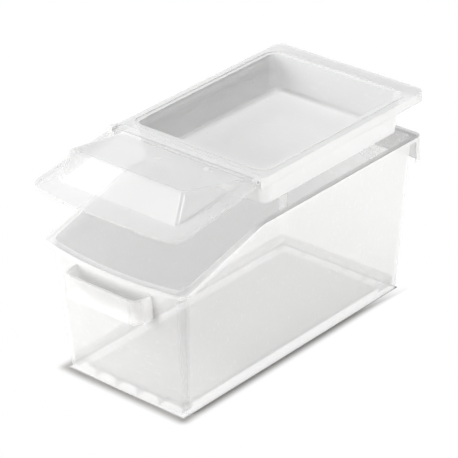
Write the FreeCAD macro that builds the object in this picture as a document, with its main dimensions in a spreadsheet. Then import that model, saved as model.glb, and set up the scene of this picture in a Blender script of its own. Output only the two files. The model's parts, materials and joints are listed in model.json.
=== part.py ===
import FreeCAD, Part
import math
import os
import Sketcher

# A scoop bin for dry bulk food, moulded in milky polypropylene. A tapered bin with a bowed
# low front and a pull handle carries a lift-off lid, whose recessed deck covers the level
# part of the rim. A clear domed flap, hinged on the deck, covers the sloping scoop mouth.
# The lid stands lifted off its seat and the flap a little ajar, as in the photograph.
# Frame: millimetres, +Z up, front of the bin towards -Y, origin under the middle of the box.

doc = FreeCAD.newDocument("scoop_bin")
sizes = doc.addObject("Spreadsheet::Sheet", "sizes")

# Driving dimensions: alias, value
CELLS = [
    # bin walls, measured on the outer faces at the foot and at rim height
    ("rim_height", 197.3),
    ("foot_half_width", 91.5),
    ("mouth_half_width", 104.3),
    ("foot_back", 184.0),
    ("mouth_back", 207.3),
    ("foot_front", 189.4),
    ("mouth_front", 197.8),
    ("foot_bow_radius", 830.0),
    ("mouth_bow_radius", 605.0),
    ("bin_wall", 2.3),
    ("foot_corner", 6.5),
    ("bin_corner", 12.0),
    ("foot_step", 3.4),
    ("foot_step_inset", 0.8),
    ("floor_level", 6.0),
    ("floor_round", 20.0),
    # rim line, flange and lip
    ("knee_place", 63.4),
    ("knee_round", 25.0),
    ("mouth_slope", 15.2),
    ("rim_half_width", 110.0),
    ("rim_back", 214.6),
    ("rim_front", 200.4),
    ("rim_bow_radius", 720.0),
    ("rim_corner", 10.0),
    ("flange_thickness", 2.3),
    ("lip_thickness", 2.0),
    ("lip_depth", 5.0),
    # grip along the back of the rim
    ("grip_depth", 34.0),
    ("grip_reach", 13.0),
    ("grip_corner", 6.0),
    # pull handle on the front wall
    ("handle_half_width", 60.0),
    ("handle_front", 217.5),
    ("handle_low", 118.0),
    ("handle_high", 148.0),
    ("handle_wall", 2.8),
    ("handle_corner", 14.0),
    ("handle_taper", 2.0),
    ("handle_root", 150.0),
    # gussets under the rounded floor edges
    ("gusset_pitch", 33.0),
    ("gusset_thickness", 1.8),
    ("gusset_lift", 1.0),
    ("gusset_reach", 24.0),
    ("skirt_height", 27.0),
    # lid, measured from the top of its deck
    ("lid_height", 254.7),
    ("lid_half_width", 113.0),
    ("lid_back", 217.5),
    ("lid_front", 69.3),
    ("lid_corner", 11.0),
    ("deck_thickness", 2.2),
    ("lid_lip_depth", 12.0),
    ("lid_lip_thickness", 2.0),
    ("tray_half_width", 100.0),
    ("tray_back", 191.6),
    ("tray_front", 49.4),
    ("tray_draft", 3.5),
    ("tray_depth", 48.0),
    ("tray_wall", 2.0),
    ("tray_corner", 13.0),
    ("tray_round", 6.0),
    ("bead_gap", 5.0),
    ("bead_width", 2.0),
    ("bead_height", 1.0),
    ("ridge_place", 59.9),
    ("ridge_half_length", 104.0),
    ("ridge_width", 1.6),
    ("ridge_height", 0.8),
    ("deck_edge_round", 1.4),
    ("pad_inner", 96.4),
    ("pad_width", 2.5),
    ("pad_front", 42.0),
    ("pad_length", 12.6),
    ("pad_height", 6.5),
    # hinge of the flap
    ("hinge_place", 73.0),
    ("hinge_rise", -1.0),
    ("ear_radius", 3.4),
    ("ear_inner", 107.0),
    ("ear_run", 15.0),
    ("trunnion_radius", 1.6),
    ("trunnion_end", 112.6),
    ("bore_radius", 1.68),
    # flap, measured from its hinge line; its flange lies below that line
    ("flap_tilt", 7.4),
    ("flap_half_width", 113.0),
    ("flap_reach", 137.4),
    ("flap_bow_radius", 800.0),
    ("flap_corner", 16.0),
    ("flap_thickness", 1.8),
    ("flap_drop", 1.75),
    ("flap_skirt", 5.0),
    ("flap_skirt_wall", 1.8),
    ("finger_half_width", 56.0),
    ("finger_lip", 2.6),
    ("finger_depth", 30.0),
    ("barrel_radius", 2.8),
    ("barrel_half_length", 106.5),
    ("notch_depth", 5.0),
    ("dome_sink", 12.0),
    ("dome_back", 2.0),
    ("dome_base_back_half", 98.2),
    ("dome_base_front_half", 92.0),
    ("dome_base_front", 116.3),
    ("dome_top_back_half", 97.0),
    ("dome_top_front_half", 87.2),
    ("dome_top_front", 86.5),
    ("dome_rise_back", -0.6),
    ("dome_rise_front", 29.2),
    ("dome_wall", 1.8),
    ("dome_round", 5.0),
    # a leaning wall of the dome moves in by its thickness times these
    ("lean_back", 1.6),
    ("lean_base", 1.4),
    ("lean_roof", 1.05),
    ("lean_side", 1.1),
    ("lean_top", 0.7),
    ("lean_round", 0.9),
    # far end of the blocks that only trim, how much a cut passes a face, how deep a raised line is rooted
    ("room", 300.0),
    ("over", 1.0),
    ("root", 0.5),
]
for row, (alias, number) in enumerate(CELLS, start=1):
    sizes.set("A%d" % row, alias.replace("_", " "))
    sizes.set("B%d" % row, str(number))
    sizes.setAlias("B%d" % row, alias)
doc.recompute()

SIDE_VIEW = FreeCAD.Rotation(0.5, 0.5, 0.5, 0.5)


def value(expression):
    """Number that an expression of the sheet's cells gives now."""
    return float(sizes.evalExpression(expression))


def cell(name):
    return "sizes." + name


def bind(thing, **paths):
    for path, expression in paths.items():
        thing.setExpression(path.replace("__", "."), expression)


def new_sketch(name, height="0", rotation=None):
    sketch = doc.addObject("Sketcher::SketchObject", name)
    sketch.Placement = FreeCAD.Placement(FreeCAD.Vector(0, 0, value(height)), rotation or FreeCAD.Rotation())
    sketch.setExpression("Placement.Base.z", height)
    return sketch


def dimension(sketch, name, expression, kind, *where):
    """A named dimension of a sketch that follows an expression of the sheet."""
    index = sketch.addConstraint(Sketcher.Constraint(kind, *where, value(expression)))
    sketch.renameConstraint(index, name)
    sketch.setExpression("Constraints." + name, expression)


def pin(sketch, name, expression, kind, line):
    """Hold the start of a line at a signed distance from the sketch's origin."""
    signed = value(expression)
    if abs(signed) < 1e-9:
        axis = -2 if kind == "DistanceX" else -1
        sketch.addConstraint(Sketcher.Constraint("PointOnObject", line, 1, axis))
    elif signed > 0:
        dimension(sketch, name, expression, kind, -1, 1, line, 1)
    else:
        dimension(sketch, name, "-(" + expression + ")", kind, line, 1, -1, 1)


def side_profile(name, *corners):
    """Closed polygon seen from the side; each corner is a pair of expressions for Y and Z."""
    sketch = new_sketch(name, "0", SIDE_VIEW)
    points = [FreeCAD.Vector(value(y), value(z), 0) for y, z in corners]
    count = len(points)
    for number, start in enumerate(points):
        sketch.addGeometry(Part.LineSegment(start, points[(number + 1) % count]))
    for number in range(count):
        sketch.addConstraint(Sketcher.Constraint("Coincident", number, 2, (number + 1) % count, 1))
    for number, (y, z) in enumerate(corners):
        pin(sketch, "y%d" % number, y, "DistanceX", number)
        pin(sketch, "z%d" % number, z, "DistanceY", number)
    return sketch


def outline(name, height, half_back, half_front, back, front, bow=None):
    """Plan outline with straight sides and back, and a front that is straight or bowed.

    half_back and half_front are half the width at the two ends, back and front are how far
    the outline runs each way from the X axis, and a negative one lies on the other side.
    """
    sketch = new_sketch(name, height)
    hb, hf, yb, yf = value(half_back), value(half_front), value(back), -value(front)
    point = FreeCAD.Vector
    sketch.addGeometry(Part.LineSegment(point(-hb, yb, 0), point(hb, yb, 0)))
    if bow is None:
        corner = yf
    else:
        radius = value(bow)
        corner = yf + radius - math.sqrt(radius ** 2 - hf ** 2)
    sketch.addGeometry(Part.LineSegment(point(hb, yb, 0), point(hf, corner, 0)))
    if bow is None:
        sketch.addGeometry(Part.LineSegment(point(hf, corner, 0), point(-hf, corner, 0)))
        near, far = 1, 2
    else:
        reach = math.asin(hf / radius)
        circle = Part.Circle(point(0, yf + radius, 0), point(0, 0, 1), radius)
        sketch.addGeometry(Part.ArcOfCircle(circle, -math.pi / 2 - reach, -math.pi / 2 + reach))
        near, far = 2, 1
    sketch.addGeometry(Part.LineSegment(point(-hf, corner, 0), point(-hb, yb, 0)))
    for first, second in (((0, 2), (1, 1)), ((1, 2), (2, near)), ((2, far), (3, 1)), ((3, 2), (0, 1))):
        sketch.addConstraint(Sketcher.Constraint("Coincident", *first, *second))
    sketch.addConstraint(Sketcher.Constraint("Horizontal", 0))
    dimension(sketch, "right_back", half_back, "DistanceX", -1, 1, 1, 1)
    dimension(sketch, "left_back", half_back, "DistanceX", 3, 2, -1, 1)
    dimension(sketch, "right_front", half_front, "DistanceX", -1, 1, 1, 2)
    dimension(sketch, "left_front", half_front, "DistanceX", 3, 1, -1, 1)
    pin(sketch, "back", back, "DistanceY", 0)
    if bow is None:
        sketch.addConstraint(Sketcher.Constraint("Horizontal", 2))
        pin(sketch, "front", "-(" + front + ")", "DistanceY", 2)
    else:
        sketch.addConstraint(Sketcher.Constraint("PointOnObject", 2, 3, -2))
        dimension(sketch, "bow", bow, "Radius", 2)
        dimension(sketch, "bow_centre", bow + " - (" + front + ")", "DistanceY", -1, 1, 2, 3)
    return sketch


def loft(name, *sketches):
    thing = doc.addObject("Part::Loft", name)
    thing.Sections = list(sketches)
    thing.Solid = True
    thing.Ruled = True
    return thing


def extrude(name, sketch, length, start=None):
    """Straight extrusion along the sketch's normal, upwards or to the right."""
    thing = doc.addObject("Part::Extrusion", name)
    thing.Base = sketch
    thing.DirMode = "Normal"
    thing.Solid = True
    thing.setExpression("LengthFwd", length)
    if start:
        thing.setExpression("LengthRev", start)
    return thing


def box(name, length, width, height, x, y, z):
    thing = doc.addObject("Part::Box", name)
    bind(thing, Length=length, Width=width, Height=height)
    bind(thing, Placement__Base__x=x, Placement__Base__y=y, Placement__Base__z=z)
    return thing


def cylinder_along_x(name, radius, length, x, y, z):
    thing = doc.addObject("Part::Cylinder", name)
    thing.Placement.Rotation = FreeCAD.Rotation(FreeCAD.Vector(0, 1, 0), 90)
    bind(thing, Radius=radius, Height=length)
    bind(thing, Placement__Base__x=x, Placement__Base__y=y, Placement__Base__z=z)
    return thing


def cut(name, base, tool):
    thing = doc.addObject("Part::Cut", name)
    thing.Base = base
    thing.Tool = tool
    return thing


def fuse(name, *parts):
    thing = doc.addObject("Part::MultiFuse", name)
    thing.Shapes = list(parts)
    return thing


def common(name, *parts):
    thing = doc.addObject("Part::MultiCommon", name)
    thing.Shapes = list(parts)
    return thing


def fillet(name, base, *choices):
    """Round the edges of base; each choice is a test of an edge and the radius it gets.

    A pair of radii is for an upright edge: the radius at its foot and the one at its top.
    """
    doc.recompute()
    picked = []
    for number, edge in enumerate(base.Shape.Edges, start=1):
        for test, radius in choices:
            if test(edge):
                ends = radius if isinstance(radius, tuple) else (radius, radius)
                if edge.Vertexes[0].Z > edge.Vertexes[-1].Z:
                    ends = ends[::-1]
                picked.append((number, *ends))
                break
    if not picked:
        raise RuntimeError(name + ": no edge to round")
    thing = doc.addObject("Part::Fillet", name)
    thing.Base = base
    thing.Edges = picked
    return thing


def upright(edge):
    """True for an edge that climbs more than it runs."""
    step = edge.Vertexes[-1].Point - edge.Vertexes[0].Point
    return abs(step.z) > math.hypot(step.x, step.y)


def level_at(height):
    """Test for edges that lie at one height."""
    def test(edge):
        return all(abs(v.Z - height) < 0.01 for v in edge.Vertexes)
    return test


# Bin walls

def between(foot, mouth, height):
    """Expression for a wall dimension at a height, on the straight draft from foot to mouth."""
    return "(%s + (%s - %s) * (%s) / sizes.rim_height)" % (cell(foot), cell(mouth), cell(foot), height)


def wall_section(name, height, inset="0"):
    """Outline of the bin's walls at a height, moved in by inset."""
    half = between("foot_half_width", "mouth_half_width", height) + " - " + inset
    back = between("foot_back", "mouth_back", height) + " - " + inset
    front = between("foot_front", "mouth_front", height) + " - " + inset
    bow = between("foot_bow_radius", "mouth_bow_radius", height) + " - " + inset
    return outline(name, height, half, half, back, front, bow)


def under_rim(name, drop):
    """Everything lower than the rim line less a drop: level at the back, sloping past the knee."""
    level = "sizes.rim_height - " + drop
    knee = "-sizes.knee_place + " + drop + " * tan(sizes.mouth_slope * 1deg / 2)"
    fall = "(sizes.room + (" + knee + ")) * tan(sizes.mouth_slope * 1deg)"
    sketch = side_profile(name + "_side", ("sizes.room", level), (knee, level),
                          ("-sizes.room", level + " - " + fall), ("-sizes.room", "-sizes.over"),
                          ("sizes.room", "-sizes.over"))
    block = extrude(name + "_block", sketch, "sizes.room", "sizes.room")

    def at_knee(edge):
        return all(abs(v.Y - value(knee)) < 0.01 and v.Z > 0 for v in edge.Vertexes)
    return fillet(name, block, (at_knee, value("sizes.knee_round - " + drop)))


def build_bin():
    walls = loft("bin_walls", wall_section("walls_low", "0"), wall_section("walls_high", "sizes.rim_height"))
    corner = (value(cell("foot_corner")), value(cell("bin_corner")))
    walls_round = fillet("bin_walls_round", walls, (upright, corner))
    below_rim = under_rim("below_rim", "0")
    tub = common("tub_block", walls_round, below_rim)

    # flange and its lip, both following the rim line
    rim_outline = outline("rim_outline", "0", cell("rim_half_width"), cell("rim_half_width"),
                          cell("rim_back"), cell("rim_front"), cell("rim_bow_radius"))
    rim_prism = extrude("rim_prism", rim_outline, "sizes.rim_height + sizes.over")
    rim_round = fillet("rim_prism_round", rim_prism, (upright, value("sizes.rim_corner")))
    thin = "sizes.lip_thickness"
    inner_outline = outline("rim_inner_outline", "-sizes.over", "sizes.rim_half_width - " + thin,
                            "sizes.rim_half_width - " + thin, "sizes.rim_back - " + thin,
                            "sizes.rim_front - " + thin, "sizes.rim_bow_radius - " + thin)
    inner_prism = extrude("rim_inner_prism", inner_outline, "sizes.rim_height + 3 * sizes.over")
    inner_round = fillet("rim_inner_round", inner_prism,
                         (upright, value("sizes.rim_corner - sizes.lip_thickness")))
    rim_ring = cut("rim_ring", rim_round, inner_round)
    flange_band = cut("flange_band", below_rim, under_rim("below_flange", "sizes.flange_thickness"))
    lip_band = cut("lip_band", under_rim("below_rim_lip", "0"), under_rim("below_lip", "sizes.lip_depth"))
    flange = common("rim_flange", rim_round, flange_band)
    lip = common("rim_lip", rim_ring, lip_band)

    # deep lip across the back of the rim, a grip for pulling the bin out from a shelf
    grip_low = "sizes.rim_height - sizes.grip_depth"
    grip_block = box("grip_block", "2 * sizes.rim_half_width", "sizes.grip_reach", "sizes.grip_depth",
                     "-sizes.rim_half_width", "sizes.rim_back - sizes.grip_reach", grip_low)
    grip_room = box("grip_room", "2 * (sizes.rim_half_width - " + thin + ")", "sizes.grip_reach",
                    "sizes.grip_depth", "-(sizes.rim_half_width - " + thin + ")",
                    "sizes.rim_back - sizes.grip_reach - " + thin,
                    grip_low + " - sizes.flange_thickness")
    grip_round = fillet("grip_block_round", grip_block, (low_along_y, value(cell("grip_corner"))))
    grip = cut("grip_shell", common("grip_trim", grip_round, rim_round), grip_room)

    # pull handle: a strap that stands out from the front wall, open above and below
    strap = handle_strap()

    outside = fuse("bin_outside", tub, flange, lip, grip, strap)
    inset = cell("bin_wall")
    cavity = loft("bin_cavity", wall_section("cavity_low", cell("floor_level"), inset),
                  wall_section("cavity_high", "sizes.rim_height + sizes.over", inset))
    inner_corner = value("sizes.bin_corner - sizes.bin_wall")
    cavity_round = fillet("bin_cavity_round", cavity, (upright, inner_corner),
                          (level_at(value(cell("floor_level"))), value(cell("floor_round"))))
    hollow = cut("bin_hollow", outside, cavity_round)
    standing = cut("bin_standing", hollow, bin_underside())
    body = cut("bin_body", standing, foot_recess())
    body.Label = "bin_body"
    return body


def foot_recess():
    """Thin ring off the foot of the walls, so that the bin stands on a slightly smaller ring."""
    outside = "(-sizes.over)"
    around = loft("foot_around", wall_section("foot_around_low", "-sizes.over", outside),
                  wall_section("foot_around_high", cell("foot_step"), outside))
    inset = cell("foot_step_inset")
    inside = loft("foot_inside", wall_section("foot_inside_low", "-2 * sizes.over", inset),
                  wall_section("foot_inside_high", "sizes.foot_step + sizes.over", inset))
    inside_round = fillet("foot_inside_round", inside,
                          (upright, value("sizes.foot_corner - sizes.foot_step_inset")))
    return cut("foot_recess", around, inside_round)


def low_along_y(edge):
    """True for the lower edges of the grip block that run from front to back."""
    low = value("sizes.rim_height - sizes.grip_depth")
    ends = [vertex.Point for vertex in edge.Vertexes]
    return all(abs(end.z - low) < 0.01 for end in ends) and abs(ends[0].x - ends[1].x) < 0.01


def handle_strap():
    half, wall = cell("handle_half_width"), cell("handle_wall")
    outer = outline("handle_outline", cell("handle_low"), half, half + " - sizes.handle_taper",
                    "-sizes.handle_root", cell("handle_front"))
    block = extrude("handle_block", outer, "sizes.handle_high - sizes.handle_low")
    block_round = fillet("handle_block_round", block, (front_upright, value(cell("handle_corner"))))
    inner = outline("handle_inner_outline", "sizes.handle_low - sizes.over", half + " - " + wall,
                    half + " - sizes.handle_taper - " + wall, "-sizes.handle_root + sizes.over",
                    "sizes.handle_front - " + wall)
    room = extrude("handle_room", inner, "sizes.handle_high - sizes.handle_low + 2 * sizes.over")
    room_round = fillet("handle_room_round", room,
                        (front_upright, value("sizes.handle_corner - sizes.handle_wall")))
    return cut("handle_strap", block_round, room_round)


def front_upright(edge):
    """True for the upright edges at the front end of a prism."""
    return upright(edge) and edge.Vertexes[0].Y < -value(cell("mouth_front"))


def bin_underside():
    """Space between the skirt and the rounded floor, less the gussets that stiffen it."""
    inset = cell("bin_wall")
    inside = loft("skirt_inside", wall_section("skirt_inside_low", "-sizes.over", inset),
                  wall_section("skirt_inside_high", cell("skirt_height"), inset))
    inside_round = fillet("skirt_inside_round", inside, (upright, value("sizes.bin_corner - sizes.bin_wall")))
    pan_level = "sizes.floor_level - sizes.bin_wall"
    pan = loft("floor_pan", wall_section("pan_low", pan_level),
               wall_section("pan_high", "sizes.rim_height"))
    pan_round = fillet("floor_pan_round", pan, (upright, value("sizes.bin_corner")),
                       (level_at(value(pan_level)), value("sizes.floor_round + sizes.bin_wall")))
    space = cut("underside_space", inside_round, pan_round)
    plates = []
    pitch = value(cell("gusset_pitch"))
    across = int(value(cell("foot_half_width")) // pitch)
    for number in range(-across - 1, across + 1):
        place = "%.1f * sizes.gusset_pitch" % (number + 0.5)
        if abs(value(place)) < value("sizes.foot_half_width - sizes.gusset_thickness"):
            plates.append(gusset_plate("front_gusset_%d" % len(plates), place, "-sizes.foot_front"))
            plates.append(gusset_plate("back_gusset_%d" % len(plates), place,
                                       "sizes.foot_back - sizes.gusset_reach"))
    return cut("underside_ribbed", space, fuse("gussets", *plates))


def gusset_plate(name, place, start):
    """One upright plate that stiffens the round of the floor at the front or the back."""
    return box(name, cell("gusset_thickness"), cell("gusset_reach"), "sizes.skirt_height + sizes.over",
               place + " - sizes.gusset_thickness / 2", start, cell("gusset_lift"))


# Lid deck, drawn with the top of its deck at height 0

def tray_section(name, height, inset="0"):
    """Outline of the recessed tray at a height below the deck, moved in by inset."""
    lean = "sizes.tray_draft * (%s) / sizes.tray_depth - %s" % (height, inset)
    half = "sizes.tray_half_width + " + lean
    return outline(name, height, half, half, "sizes.tray_back + " + lean, "sizes.tray_front + " + lean)


def build_deck():
    half, thin = cell("lid_half_width"), cell("lid_lip_thickness")
    cap_outline = outline("cap_outline", "-sizes.lid_lip_depth", half, half, cell("lid_back"),
                          cell("lid_front"))
    cap = extrude("cap_block", cap_outline, cell("lid_lip_depth"))
    cap_round = fillet("cap_round", cap, (back_upright, value(cell("lid_corner"))),
                       (level_at(0), value(cell("deck_edge_round"))))
    room_outline = outline("cap_room_outline", "-sizes.lid_lip_depth - sizes.over", half + " - " + thin,
                           half + " - " + thin, "sizes.lid_back - " + thin, "sizes.lid_front + sizes.over")
    room = extrude("cap_room", room_outline, "sizes.lid_lip_depth + sizes.over - sizes.deck_thickness")
    room_round = fillet("cap_room_round", room,
                        (back_upright, value("sizes.lid_corner - sizes.lid_lip_thickness")))
    plate = cut("deck_plate", cap_round, room_round)

    tray_low = "-sizes.tray_depth"
    tray = loft("tray_block", tray_section("tray_low", tray_low), tray_section("tray_high", "0"))
    tray_round = fillet("tray_block_round", tray, (upright, value(cell("tray_corner"))),
                        (level_at(value(tray_low)), value(cell("tray_round"))))
    inset = cell("tray_wall")
    floor_top = "-sizes.tray_depth + sizes.tray_wall"
    hollow = loft("tray_hollow", tray_section("hollow_low", floor_top, inset),
                  tray_section("hollow_high", "2 * sizes.over", inset))
    hollow_round = fillet("tray_hollow_round", hollow,
                          (upright, value("sizes.tray_corner - sizes.tray_wall")),
                          (level_at(value(floor_top)), value("sizes.tray_round - sizes.tray_wall")))

    ridge = box("deck_ridge", "2 * sizes.ridge_half_length", cell("ridge_width"),
                "sizes.root + sizes.ridge_height", "-sizes.ridge_half_length",
                "-sizes.ridge_place - sizes.ridge_width", "-sizes.root")
    solids = [plate, tray_round, deck_bead(), ridge, ear("left"), ear("right")]
    deck = cut("deck_hollowed", fuse("deck_solids", *solids), hollow_round)
    pads, bores = [], []
    for side in ("left", "right"):
        place = "-sizes.pad_inner - sizes.pad_width" if side == "left" else cell("pad_inner")
        pads.append(box("tray_pad_" + side, cell("pad_width"), cell("pad_length"), cell("pad_height"),
                        place, "-sizes.pad_front", "-sizes.pad_height"))
        start = "-sizes.lid_half_width" if side == "left" else cell("ear_inner")
        bores.append(cylinder_along_x("ear_bore_" + side, cell("bore_radius"),
                                      "sizes.lid_half_width - sizes.ear_inner + 2 * sizes.over",
                                      start + " - sizes.over", "-sizes.hinge_place", cell("hinge_rise")))
    body = cut("lid_deck", fuse("deck_padded", deck, *pads), fuse("ear_bores", *bores))
    bind(body, Placement__Base__z=cell("lid_height"))
    body.Label = "lid_deck"
    return body


def back_upright(edge):
    """True for the upright edges at the back end of a prism."""
    return upright(edge) and edge.Vertexes[0].Y > 0


def deck_bead():
    """Low raised bead round the mouth of the tray."""
    rings = []
    for name, gap in (("bead_outer", "sizes.bead_gap + sizes.bead_width"), ("bead_inner", "sizes.bead_gap")):
        half = "sizes.tray_half_width - sizes.tray_wall + " + gap
        back = "sizes.tray_back - sizes.tray_wall + " + gap
        front = "sizes.tray_front - sizes.tray_wall + " + gap
        sketch = outline(name + "_outline", "-sizes.root", half, half, back, front)
        block = extrude(name, sketch, "sizes.root + sizes.bead_height")
        rings.append(fillet(name + "_round", block,
                            (upright, value("sizes.tray_corner - sizes.tray_wall + " + gap))))
    return cut("deck_bead", rings[0], rings[1])


def ear(side):
    """Lug at a front corner of the deck with a rounded nose round the hinge line."""
    name = "ear_" + side
    start = "-sizes.lid_half_width" if side == "left" else cell("ear_inner")
    length = "sizes.lid_half_width - sizes.ear_inner"
    nose = cylinder_along_x(name + "_nose", cell("ear_radius"), length, start,
                            "-sizes.hinge_place", cell("hinge_rise"))
    top, low = "sizes.hinge_rise + sizes.ear_radius", "-sizes.deck_thickness"
    web_back = "-sizes.hinge_place + sizes.ear_run"
    web_sketch = side_profile(name + "_web_side", ("-sizes.hinge_place", low), (web_back, low),
                              (web_back, "-sizes.root"), ("-sizes.hinge_place", top))
    bind(web_sketch, Placement__Base__x=start)
    web_front = box(name + "_web_front", length, "sizes.ear_run", "2 * sizes.ear_radius", start,
                    "-sizes.lid_front", low)
    web = common(name + "_web", extrude(name + "_web_block", web_sketch, length), web_front)
    return fuse(name, nose, web, bridge(name, start, length))


def bridge(name, start, length):
    """Short neck that joins the nose of an ear to its web."""
    return box(name + "_neck", length, "sizes.hinge_place - sizes.lid_front + sizes.over",
               "sizes.hinge_rise + sizes.ear_radius + sizes.deck_thickness", start, "-sizes.hinge_place",
               "-sizes.deck_thickness")


# Flap, drawn with its hinge line on the X axis and its flange level

def build_flap():
    half, skirt_wall = cell("flap_half_width"), cell("flap_skirt_wall")
    low = "-sizes.flap_drop - sizes.flap_skirt"
    flange_low = "-sizes.flap_drop - sizes.flap_thickness"
    block = extrude("flap_block", outline("flap_outline", low, half, half, "0", cell("flap_reach"),
                                          cell("flap_bow_radius")), cell("flap_skirt"))
    block_round = fillet("flap_block_round", block, (front_end, value(cell("flap_corner"))))
    thin_half = half + " - " + skirt_wall
    room = extrude("flap_room", outline("flap_room_outline", low + " - sizes.over", thin_half, thin_half,
                                        cell("over"), "sizes.flap_reach - " + skirt_wall,
                                        "sizes.flap_bow_radius - " + skirt_wall),
                   "sizes.flap_skirt - sizes.flap_thickness + sizes.over")
    room_round = fillet("flap_room_round", room,
                        (front_end, value("sizes.flap_corner - sizes.flap_skirt_wall")))
    shell = cut("flap_shell", block_round, room_round)

    below = box("below_flange", "2 * sizes.flap_half_width", "sizes.flap_reach", "sizes.dome_sink",
                "-sizes.flap_half_width", "-sizes.flap_reach", flange_low + " - sizes.dome_sink")
    dome = cut("dome", dome_block("dome", "-sizes.dome_sink", "0"), below)
    barrel = cylinder_along_x("flap_barrel", cell("barrel_radius"), "2 * sizes.barrel_half_length",
                              "-sizes.barrel_half_length", "0", "0")
    trunnions = cylinder_along_x("flap_trunnions", cell("trunnion_radius"), "2 * sizes.trunnion_end",
                                 "-sizes.trunnion_end", "0", "0")
    cuts = [dome_block("dome_room", "-sizes.dome_sink - sizes.over", cell("dome_wall"))]
    cuts.append(box("finger_cutout", "2 * sizes.finger_half_width", "sizes.room + sizes.finger_depth",
                    cell("room"), "-sizes.finger_half_width", "-sizes.flap_reach - sizes.room",
                    "-sizes.flap_drop - sizes.finger_lip - sizes.room"))
    for side in ("left", "right"):
        start = "-sizes.barrel_half_length - sizes.room" if side == "left" else cell("barrel_half_length")
        cuts.append(box("ear_notch_" + side, cell("room"), "sizes.notch_depth + sizes.over",
                        "2 * sizes.room", start, "-sizes.notch_depth", "-sizes.room"))
    hollow = cut("flap_hollowed", fuse("flap_solids", shell, dome, barrel), fuse("flap_cuts", *cuts))
    body = fuse("front_flap", hollow, trunnions)
    body.Placement.Rotation = FreeCAD.Rotation(FreeCAD.Vector(1, 0, 0), value(cell("flap_tilt")))
    bind(body, Placement__Rotation__Angle=cell("flap_tilt"))
    bind(body, Placement__Base__y="-sizes.hinge_place")
    bind(body, Placement__Base__z="sizes.lid_height + sizes.hinge_rise")
    body.Label = "front_flap"
    return body


def front_end(edge):
    """True for the upright edges at the front end of the flap's flange."""
    return upright(edge) and edge.Vertexes[0].Y < -value(cell("flap_reach")) / 2


def dome_block(name, base, inset):
    """Wedge-shaped dome: low at the hinge, high over the scoop mouth, with a leaning front."""
    back = "-sizes.dome_back - sizes.lean_back * " + inset
    low = outline(name + "_base", base, "sizes.dome_base_back_half - " + inset,
                  "sizes.dome_base_front_half - " + inset, back,
                  "sizes.dome_base_front - sizes.lean_base * " + inset)
    run = "(sizes.dome_top_front - sizes.dome_back)"
    climb = "(sizes.dome_rise_front - sizes.dome_rise_back)"
    top = outline(name + "_top", "sizes.dome_rise_back - sizes.lean_roof * " + inset,
                  "sizes.dome_top_back_half - " + inset,
                  "sizes.dome_top_front_half - sizes.lean_side * " + inset, "-sizes.lean_back * " + inset,
                  "sqrt(" + run + " ^ 2 + " + climb + " ^ 2) - sizes.lean_top * " + inset)
    lean = math.degrees(math.atan2(value(climb), value(run)))
    top.Placement.Rotation = FreeCAD.Rotation(FreeCAD.Vector(-1, 0, 0), lean)
    bind(top, Placement__Base__y="-sizes.dome_back",
         Placement__Rotation__Angle="atan2(%s; %s)" % (climb, run))
    block = loft(name + "_block", low, top)

    def at_high_end(edge):
        return any(v.Z > value(cell("dome_rise_front")) / 2 for v in edge.Vertexes)
    return fillet(name + "_round", block,
                  (at_high_end, value("sizes.dome_round - sizes.lean_round * " + inset)))


def problems():
    """Objects that failed to build, by name."""
    found = []
    for thing in doc.Objects:
        if "Invalid" in thing.State or "Error" in thing.State:
            found.append(thing.Name + " is " + ", ".join(thing.State))
        elif hasattr(thing, "Shape") and (thing.Shape.isNull() or not thing.Shape.isValid()):
            found.append(thing.Name + " has a bad shape")
    return found


pieces = [build_bin(), build_deck(), build_flap()]
doc.recompute()
faults = problems()
if faults:
    raise RuntimeError("; ".join(faults))
os.makedirs("parts", exist_ok=True)
for piece in pieces:
    if len(piece.Shape.Solids) != 1:
        raise RuntimeError(piece.Label + " is %d solids" % len(piece.Shape.Solids))
    piece.Shape.exportStep(os.path.join("parts", piece.Label + ".step"))
    print(piece.Label, round(piece.Shape.Volume / 1000, 1), "cm3", piece.Shape.BoundBox)
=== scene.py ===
import json
import math

import bpy
from mathutils import Matrix, Vector

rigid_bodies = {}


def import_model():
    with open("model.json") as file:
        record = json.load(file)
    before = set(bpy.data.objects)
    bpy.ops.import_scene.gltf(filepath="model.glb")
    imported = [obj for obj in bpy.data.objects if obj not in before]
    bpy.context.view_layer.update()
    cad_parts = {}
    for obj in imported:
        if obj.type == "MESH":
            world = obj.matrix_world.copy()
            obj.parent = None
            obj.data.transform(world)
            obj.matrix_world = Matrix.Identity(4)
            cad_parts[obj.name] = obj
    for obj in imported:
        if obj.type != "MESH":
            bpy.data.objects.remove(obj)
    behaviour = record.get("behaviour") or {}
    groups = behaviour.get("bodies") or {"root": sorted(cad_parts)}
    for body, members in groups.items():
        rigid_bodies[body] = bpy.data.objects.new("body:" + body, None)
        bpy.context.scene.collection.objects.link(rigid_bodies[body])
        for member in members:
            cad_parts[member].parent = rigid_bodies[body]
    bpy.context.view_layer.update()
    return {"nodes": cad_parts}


# A translucent scoop bin on a white studio floor, with its lid lifted and its flap ajar.
# Everything is in metres, +Z up, and the bin's front looks towards -Y.

for leftover in list(bpy.data.objects):
    bpy.data.objects.remove(leftover)
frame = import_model()
nodes = frame["nodes"]
for thing in bpy.context.selected_objects:
    thing.select_set(False)
print("frame loaded:", ", ".join(sorted(nodes)))


# Small helpers for node trees

def newTree(name):
    material = bpy.data.materials.new(name)
    material.use_nodes = True
    tree = material.node_tree
    return material, tree, tree.nodes["Principled BSDF"]


def addNode(tree, kind, place, **settings):
    made = tree.nodes.new(kind)
    made.location = place
    for key, setting in settings.items():
        setattr(made, key, setting)
    return made


def feed(tree, node, given):
    # a socket of another node is linked, and a plain number or colour is set
    for label, source in given.items():
        if isinstance(source, bpy.types.NodeSocket):
            tree.links.new(source, node.inputs[label])
        else:
            node.inputs[label].default_value = source


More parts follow.
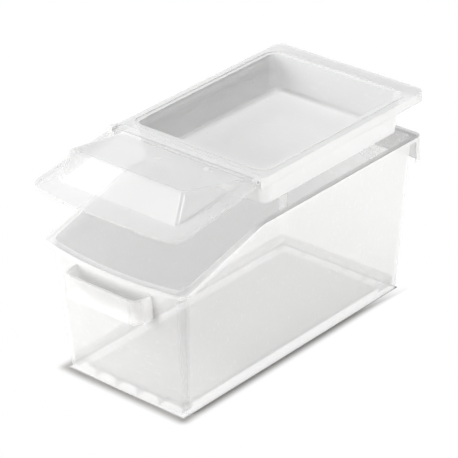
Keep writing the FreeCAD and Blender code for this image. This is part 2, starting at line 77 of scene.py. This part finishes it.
def addMath(tree, operation, place, *terms, **settings):
    made = addNode(tree, "ShaderNodeMath", place, operation=operation, **settings)
    feed(tree, made, dict(enumerate(terms)))
    return made.outputs["Value"]


def addVector(tree, operation, place, *terms):
    made = addNode(tree, "ShaderNodeVectorMath", place, operation=operation)
    feed(tree, made, dict(enumerate(terms)))
    return made.outputs["Value" if operation in ("LENGTH", "DOT_PRODUCT") else "Vector"]


def addRange(tree, place, source, ends=(0.0, 1.0), results=(0.0, 1.0), curve="LINEAR"):
    made = addNode(tree, "ShaderNodeMapRange", place, interpolation_type=curve)
    feed(tree, made, {"Value": source, "From Min": ends[0], "From Max": ends[1]})
    feed(tree, made, {"To Min": results[0], "To Max": results[1]})
    return made.outputs["Result"]


def addMix(tree, place, factor, first, second, kind="FLOAT"):
    made = addNode(tree, "ShaderNodeMix", place, data_type=kind)
    feed(tree, made, {"Factor": factor, "A": first, "B": second})
    return made.outputs["Result"]


def seenRays(tree, place):
    # 1 for the rays that look at something: straight, in a reflection or through glass
    left, height = place
    rays = addNode(tree, "ShaderNodeLightPath", place).outputs
    straight = addMath(tree, "MAXIMUM", (left + 200, height), rays["Is Camera Ray"], rays["Is Glossy Ray"])
    return addMath(tree, "MAXIMUM", (left + 400, height), straight, rays["Is Transmission Ray"])


# Node group: the faint unevenness of a moulded wall, with small scuffs and specks

unevenness = {
    "rippleScale": 18.0, "rippleDetail": 3.0,
    "scuffScale": 90.0, "scuffDetail": 6.0, "scuffRoughness": 0.65, "scuffAmount": 0.3,
    "scuffTurn": (0.35, 0.2, 0.6), "scuffStretch": (1.0, 4.0, 1.6), "scuffEnds": (0.56, 0.78),
    "speckScale": 40.0, "speckEnds": (0.035, 0.02),
}


def buildMouldedWall():
    group = bpy.data.node_groups.new("mouldedWall", "ShaderNodeTree")
    face = group.interface
    for label, key in (("Ripple Scale", "rippleScale"), ("Scuff Scale", "scuffScale"),
                       ("Scuff Amount", "scuffAmount"), ("Speck Scale", "speckScale")):
        socket = face.new_socket(name=label, in_out="INPUT", socket_type="NodeSocketFloat")
        socket.default_value = unevenness[key]
    for label in ("Ripple", "Scuff", "Speck"):
        face.new_socket(name=label, in_out="OUTPUT", socket_type="NodeSocketFloat")
    start = addNode(group, "NodeGroupInput", (-900, 0)).outputs
    end = addNode(group, "NodeGroupOutput", (600, 0))
    place = addNode(group, "ShaderNodeTexCoord", (-900, -300)).outputs["Object"]

    ripple = addNode(group, "ShaderNodeTexNoise", (-500, 300))
    feed(group, ripple, {"Vector": place, "Scale": start["Ripple Scale"]})
    feed(group, ripple, {"Detail": unevenness["rippleDetail"]})

    # scuffs are drawn out sideways, and only the peaks of their noise show
    stretch = addNode(group, "ShaderNodeMapping", (-700, -50))
    feed(group, stretch, {"Vector": place})
    feed(group, stretch, {"Rotation": unevenness["scuffTurn"], "Scale": unevenness["scuffStretch"]})
    scuff = addNode(group, "ShaderNodeTexNoise", (-500, -50))
    feed(group, scuff, {"Vector": stretch.outputs["Vector"], "Scale": start["Scuff Scale"]})
    feed(group, scuff, {"Detail": unevenness["scuffDetail"], "Roughness": unevenness["scuffRoughness"]})
    peaks = addRange(group, (-250, -50), scuff.outputs["Fac"], unevenness["scuffEnds"])
    scuffed = addMath(group, "MULTIPLY", (0, -50), peaks, start["Scuff Amount"])

    # a speck is the very middle of a cell
    cells = addNode(group, "ShaderNodeTexVoronoi", (-500, -400))
    feed(group, cells, {"Vector": place, "Scale": start["Speck Scale"]})
    near = addRange(group, (-250, -400), cells.outputs["Distance"], unevenness["speckEnds"])
    feed(group, end, {"Ripple": ripple.outputs["Fac"], "Scuff": scuffed, "Speck": near})
    return group


mouldedWall = buildMouldedWall()


# Materials: a milky plastic for the bin, a denser grey-white one for the lid and a clear one for the flap

milky = {
    "colour": (0.95, 0.95, 0.945), "alpha": 0.17, "edgeAlpha": 0.56, "shade": 0.72, "roughness": 0.3,
    "cloud": 0.04, "scuff": 0.04, "bump": 0.00012,
}
lidPlastic = {
    "colour": (0.75, 0.755, 0.75), "alpha": 0.42, "edgeAlpha": 0.78, "shade": 0.7, "roughness": 0.2,
    "cloud": 0.05, "scuff": 0.05, "bump": 0.0001,
}
clearPlastic = {
    "colour": (0.6, 0.605, 0.6), "alpha": 0.22, "edgeAlpha": 0.62, "shade": 0.3, "roughness": 0.22,
    "cloud": 0.0, "scuff": 0.0, "bump": 0.00006,
}
sharedFinish = {
    # the edge colour and power below set a painted sheen on walls seen at a slant
    "facingBlend": 0.35, "duller": 0.93, "sheenPower": 2.5, "sheenColour": (0.97, 0.97, 0.97, 1.0),
    "speckColour": (0.22, 0.21, 0.2, 1.0), "roughnessLess": 0.05, "roughnessMore": 0.12,
    "bumpStrength": 0.5, "refraction": 1.49,
}


def translucentPlastic(name, look):
    material, tree, shader = newTree(name)
    wall = addNode(tree, "ShaderNodeGroup", (-900, 0))
    wall.node_tree = mouldedWall
    feed(tree, wall, {"Scuff Amount": look["scuff"]})
    ripple, scuff, speck = (wall.outputs[label] for label in ("Ripple", "Scuff", "Speck"))

    # a wall lets light through head on, and turns denser where it is seen at a slant; its colour turns
    # whiter there too, a painted sheen
    layer = addNode(tree, "ShaderNodeLayerWeight", (-900, 350))
    feed(tree, layer, {"Blend": sharedFinish["facingBlend"]})
    slant = layer.outputs["Facing"]
    alpha = addRange(tree, (-700, 350), slant, results=(look["alpha"], look["edgeAlpha"]))
    clouded = addMath(tree, "MULTIPLY_ADD", (-500, 350), ripple, look["cloud"], alpha)
    withScuff = addMath(tree, "ADD", (-350, 350), clouded, scuff, use_clamp=True)
    withSpeck = addMath(tree, "MAXIMUM", (-200, 350), withScuff, speck)

    # a lamp's light is scattered on the way through, whatever the angle that it comes from
    shadowRay = addNode(tree, "ShaderNodeLightPath", (-450, 650)).outputs["Is Shadow Ray"]
    seen = addMix(tree, (-50, 450), shadowRay, withSpeck, look["shade"])

    duller = [part * sharedFinish["duller"] for part in look["colour"]]
    tone = addMix(tree, (-400, 100), ripple, (*look["colour"], 1.0), (*duller, 1.0), "RGBA")
    # the colour whitens where the wall is seen at a slant: a painted sheen, not the plastic's own colour
    sheenMask = addMath(tree, "POWER", (-600, -50), slant, sharedFinish["sheenPower"])
    withPaintedSheen = addMix(tree, (-300, 0), sheenMask, tone, sharedFinish["sheenColour"], "RGBA")
    specked = addMix(tree, (-200, 100), speck, withPaintedSheen, sharedFinish["speckColour"], "RGBA")

    smoothest = look["roughness"] - sharedFinish["roughnessLess"]
    roughest = look["roughness"] + sharedFinish["roughnessMore"]
    gloss = addRange(tree, (-400, -150), ripple, results=(smoothest, roughest))
    bump = addNode(tree, "ShaderNodeBump", (-400, -450))
    feed(tree, bump, {"Strength": sharedFinish["bumpStrength"], "Distance": look["bump"], "Height": ripple})

    feed(tree, shader, {"Base Color": specked, "Alpha": seen, "Roughness": gloss})
    feed(tree, shader, {"Normal": bump.outputs["Normal"], "IOR": sharedFinish["refraction"]})
    return material


def dress(node, material):
    for slot in nodes[node].material_slots:
        slot.material = material


dress("bin_body", translucentPlastic("milkyPolypropylene", milky))
dress("lid_deck", translucentPlastic("lidPolypropylene", lidPlastic))
dress("front_flap", translucentPlastic("clearFlapPlastic", clearPlastic))
print("materials set")


# Floor and world: white to the eye, with the shadow kept beside the bin's foot at the front and the right

white = (1.0, 1.0, 1.0, 1.0)
black = (0.0, 0.0, 0.0, 1.0)
studio = {
    "floorColour": (0.5, 0.49, 0.48, 1.0), "floorRoughness": 0.9, "floorSize": 6.0, "worldLight": 0.08,
    "glowReach": 0.014, "glowInset": 0.004, "glowUnder": 0.9, "panelInset": 0.014, "panelShade": 0.42,
    "fadeTowards": (-0.7, 0.7, 0.0), "fadeReach": 0.07,
    "footHalf": (0.0915, 0.187, 0.0), "footMiddle": (0.0, -0.0027, 0.0),
}

bpy.ops.mesh.primitive_plane_add(size=studio["floorSize"], location=(0, 0, 0))
floor = bpy.context.active_object
floor.name = "studioFloor"
floorMaterial, floorTree, floorShader = newTree("studioFloor")
feed(floorTree, floorShader, {"Roughness": studio["floorRoughness"], "Specular IOR Level": 0.0})
feed(floorTree, floorShader, {"Emission Color": white})


# The floor glows white to the eye from glowReach beyond the bin's foot, nearly so under the bin, and the
# shadow shows in the band between

def glowByDistance(tree, shader):
    place = addNode(tree, "ShaderNodeTexCoord", (-1700, -300)).outputs["Object"]
    centred = addVector(tree, "SUBTRACT", (-1500, -300), place, studio["footMiddle"])
    folded = addVector(tree, "ABSOLUTE", (-1300, -300), centred)
    past = addVector(tree, "SUBTRACT", (-1100, -300), folded, studio["footHalf"])
    outside = addVector(tree, "MAXIMUM", (-900, -300), past)
    distance = addVector(tree, "LENGTH", (-700, -300), outside)
    rise = addRange(tree, (-500, -300), distance, (0.0, studio["glowReach"]), curve="SMOOTHSTEP")

    # the side that is farther out says how deep under the bin a point is
    sides = addNode(tree, "ShaderNodeSeparateXYZ", (-900, -550))
    feed(tree, sides, {"Vector": past})
    depth = addMath(tree, "MAXIMUM", (-700, -550), sides.outputs["X"], sides.outputs["Y"])
    underEnds = (0.0, -studio["glowInset"])
    under = addRange(tree, (-500, -550), depth, underEnds, (0.0, studio["glowUnder"]), "SMOOTHSTEP")

    # under the bin's own floor panel the glow is weaker, a painted shade on the floor, so that the panel
    # stands out darker
    panelEnds = (-studio["panelInset"], -studio["panelInset"] - studio["glowInset"])
    paintedPanelShade = addRange(tree, (-500, -850), depth, panelEnds, (0.0, studio["panelShade"]), "SMOOTHSTEP")

    # the shadow's line would show through the clear walls at the left and the back, so it fades out there
    across = addVector(tree, "DOT_PRODUCT", (-900, 0), centred, studio["fadeTowards"])
    far = addRange(tree, (-700, 0), across, (0.0, studio["fadeReach"]), curve="SMOOTHSTEP")
    outer = addMath(tree, "MAXIMUM", (-500, 0), rise, far)
    beyond = addMath(tree, "GREATER_THAN", (-500, -150), depth, 0.0)
    kept = addMath(tree, "MULTIPLY", (-350, -100), outer, beyond)
    either = addMath(tree, "ADD", (-350, -400), kept, under)
    less = addMath(tree, "SUBTRACT", (-300, -550), either, paintedPanelShade)

    away = addMath(tree, "MULTIPLY", (-250, -300), less, seenRays(tree, (-900, -1150)))
    tone = addMix(tree, (-250, 100), away, studio["floorColour"], black, "RGBA")
    feed(tree, shader, {"Emission Strength": away, "Base Color": tone})


glowByDistance(floorTree, floorShader)
floor.data.materials.append(floorMaterial)

world = bpy.data.worlds.new("studioWorld")
bpy.context.scene.world = world
world.use_nodes = True
worldTree = world.node_tree
level = addRange(worldTree, (-250, 0), seenRays(worldTree, (-900, 0)), results=(studio["worldLight"], 1.0))
feed(worldTree, worldTree.nodes["Background"], {"Color": white, "Strength": level})
print("floor and world set")


# Lamps: a wide one low at the front left, a low one at the right, and one overhead

frontLamp = {"power": 66.0, "size": 1.1, "place": (-0.75, -2.1, 0.62)}
sideLamp = {"power": 56.0, "size": 0.4, "place": (2.3, 0.1, 0.2)}
topLamp = {"power": 42.0, "size": 0.6, "place": (-0.32, 0.12, 2.2)}
lampTarget = (0.0, 0.0, 0.1)


def softbox(name, lampLook):
    lamp = bpy.data.lights.new(name, "AREA")
    lamp.shape = "SQUARE"
    lamp.size = lampLook["size"]
    lamp.energy = lampLook["power"]
    holder = bpy.data.objects.new(name, lamp)
    bpy.context.scene.collection.objects.link(holder)
    place = Vector(lampLook["place"])
    aim = Vector(lampTarget) - place
    holder.matrix_world = Matrix.Translation(place) @ aim.to_track_quat("-Z", "Y").to_matrix().to_4x4()


softbox("frontLamp", frontLamp)
softbox("sideLamp", sideLamp)
softbox("topLamp", topLamp)
print("lamps set")


# Camera: a long lens from the front right and above, turned a little, as in the photograph

view = {
    "azimuth": 43.91, "elevation": 28.17, "roll": -3.17, "place": (1.8453, -1.9220, 1.5553),
    "focalPixels": 2627.3, "framePixels": 458, "sensor": 36.0, "clipEnd": 50.0, "clearLayers": 48,
}


def addCamera():
    azimuth, elevation, roll = (math.radians(view[key]) for key in ("azimuth", "elevation", "roll"))
    level = math.cos(elevation)
    forward = Vector((-math.sin(azimuth) * level, math.cos(azimuth) * level, -math.sin(elevation)))
    right = forward.cross(Vector((0, 0, 1))).normalized()
    up = right.cross(forward)
    turnedRight = right * math.cos(roll) + up * math.sin(roll)
    turnedUp = up * math.cos(roll) - right * math.sin(roll)
    turned = Matrix((turnedRight, turnedUp, -forward)).transposed()
    data = bpy.data.cameras.new("photoCamera")
    data.sensor_width = view["sensor"]
    data.lens = view["focalPixels"] / view["framePixels"] * view["sensor"]
    data.clip_end = view["clipEnd"]
    camera = bpy.data.objects.new("photoCamera", data)
    bpy.context.scene.collection.objects.link(camera)
    camera.matrix_world = Matrix.Translation(view["place"]) @ turned.to_4x4()
    bpy.context.scene.camera = camera


addCamera()
bpy.context.scene.view_settings.view_transform = "Standard"
bpy.context.scene.cycles.transparent_max_bounces = view["clearLayers"]
print("camera set")
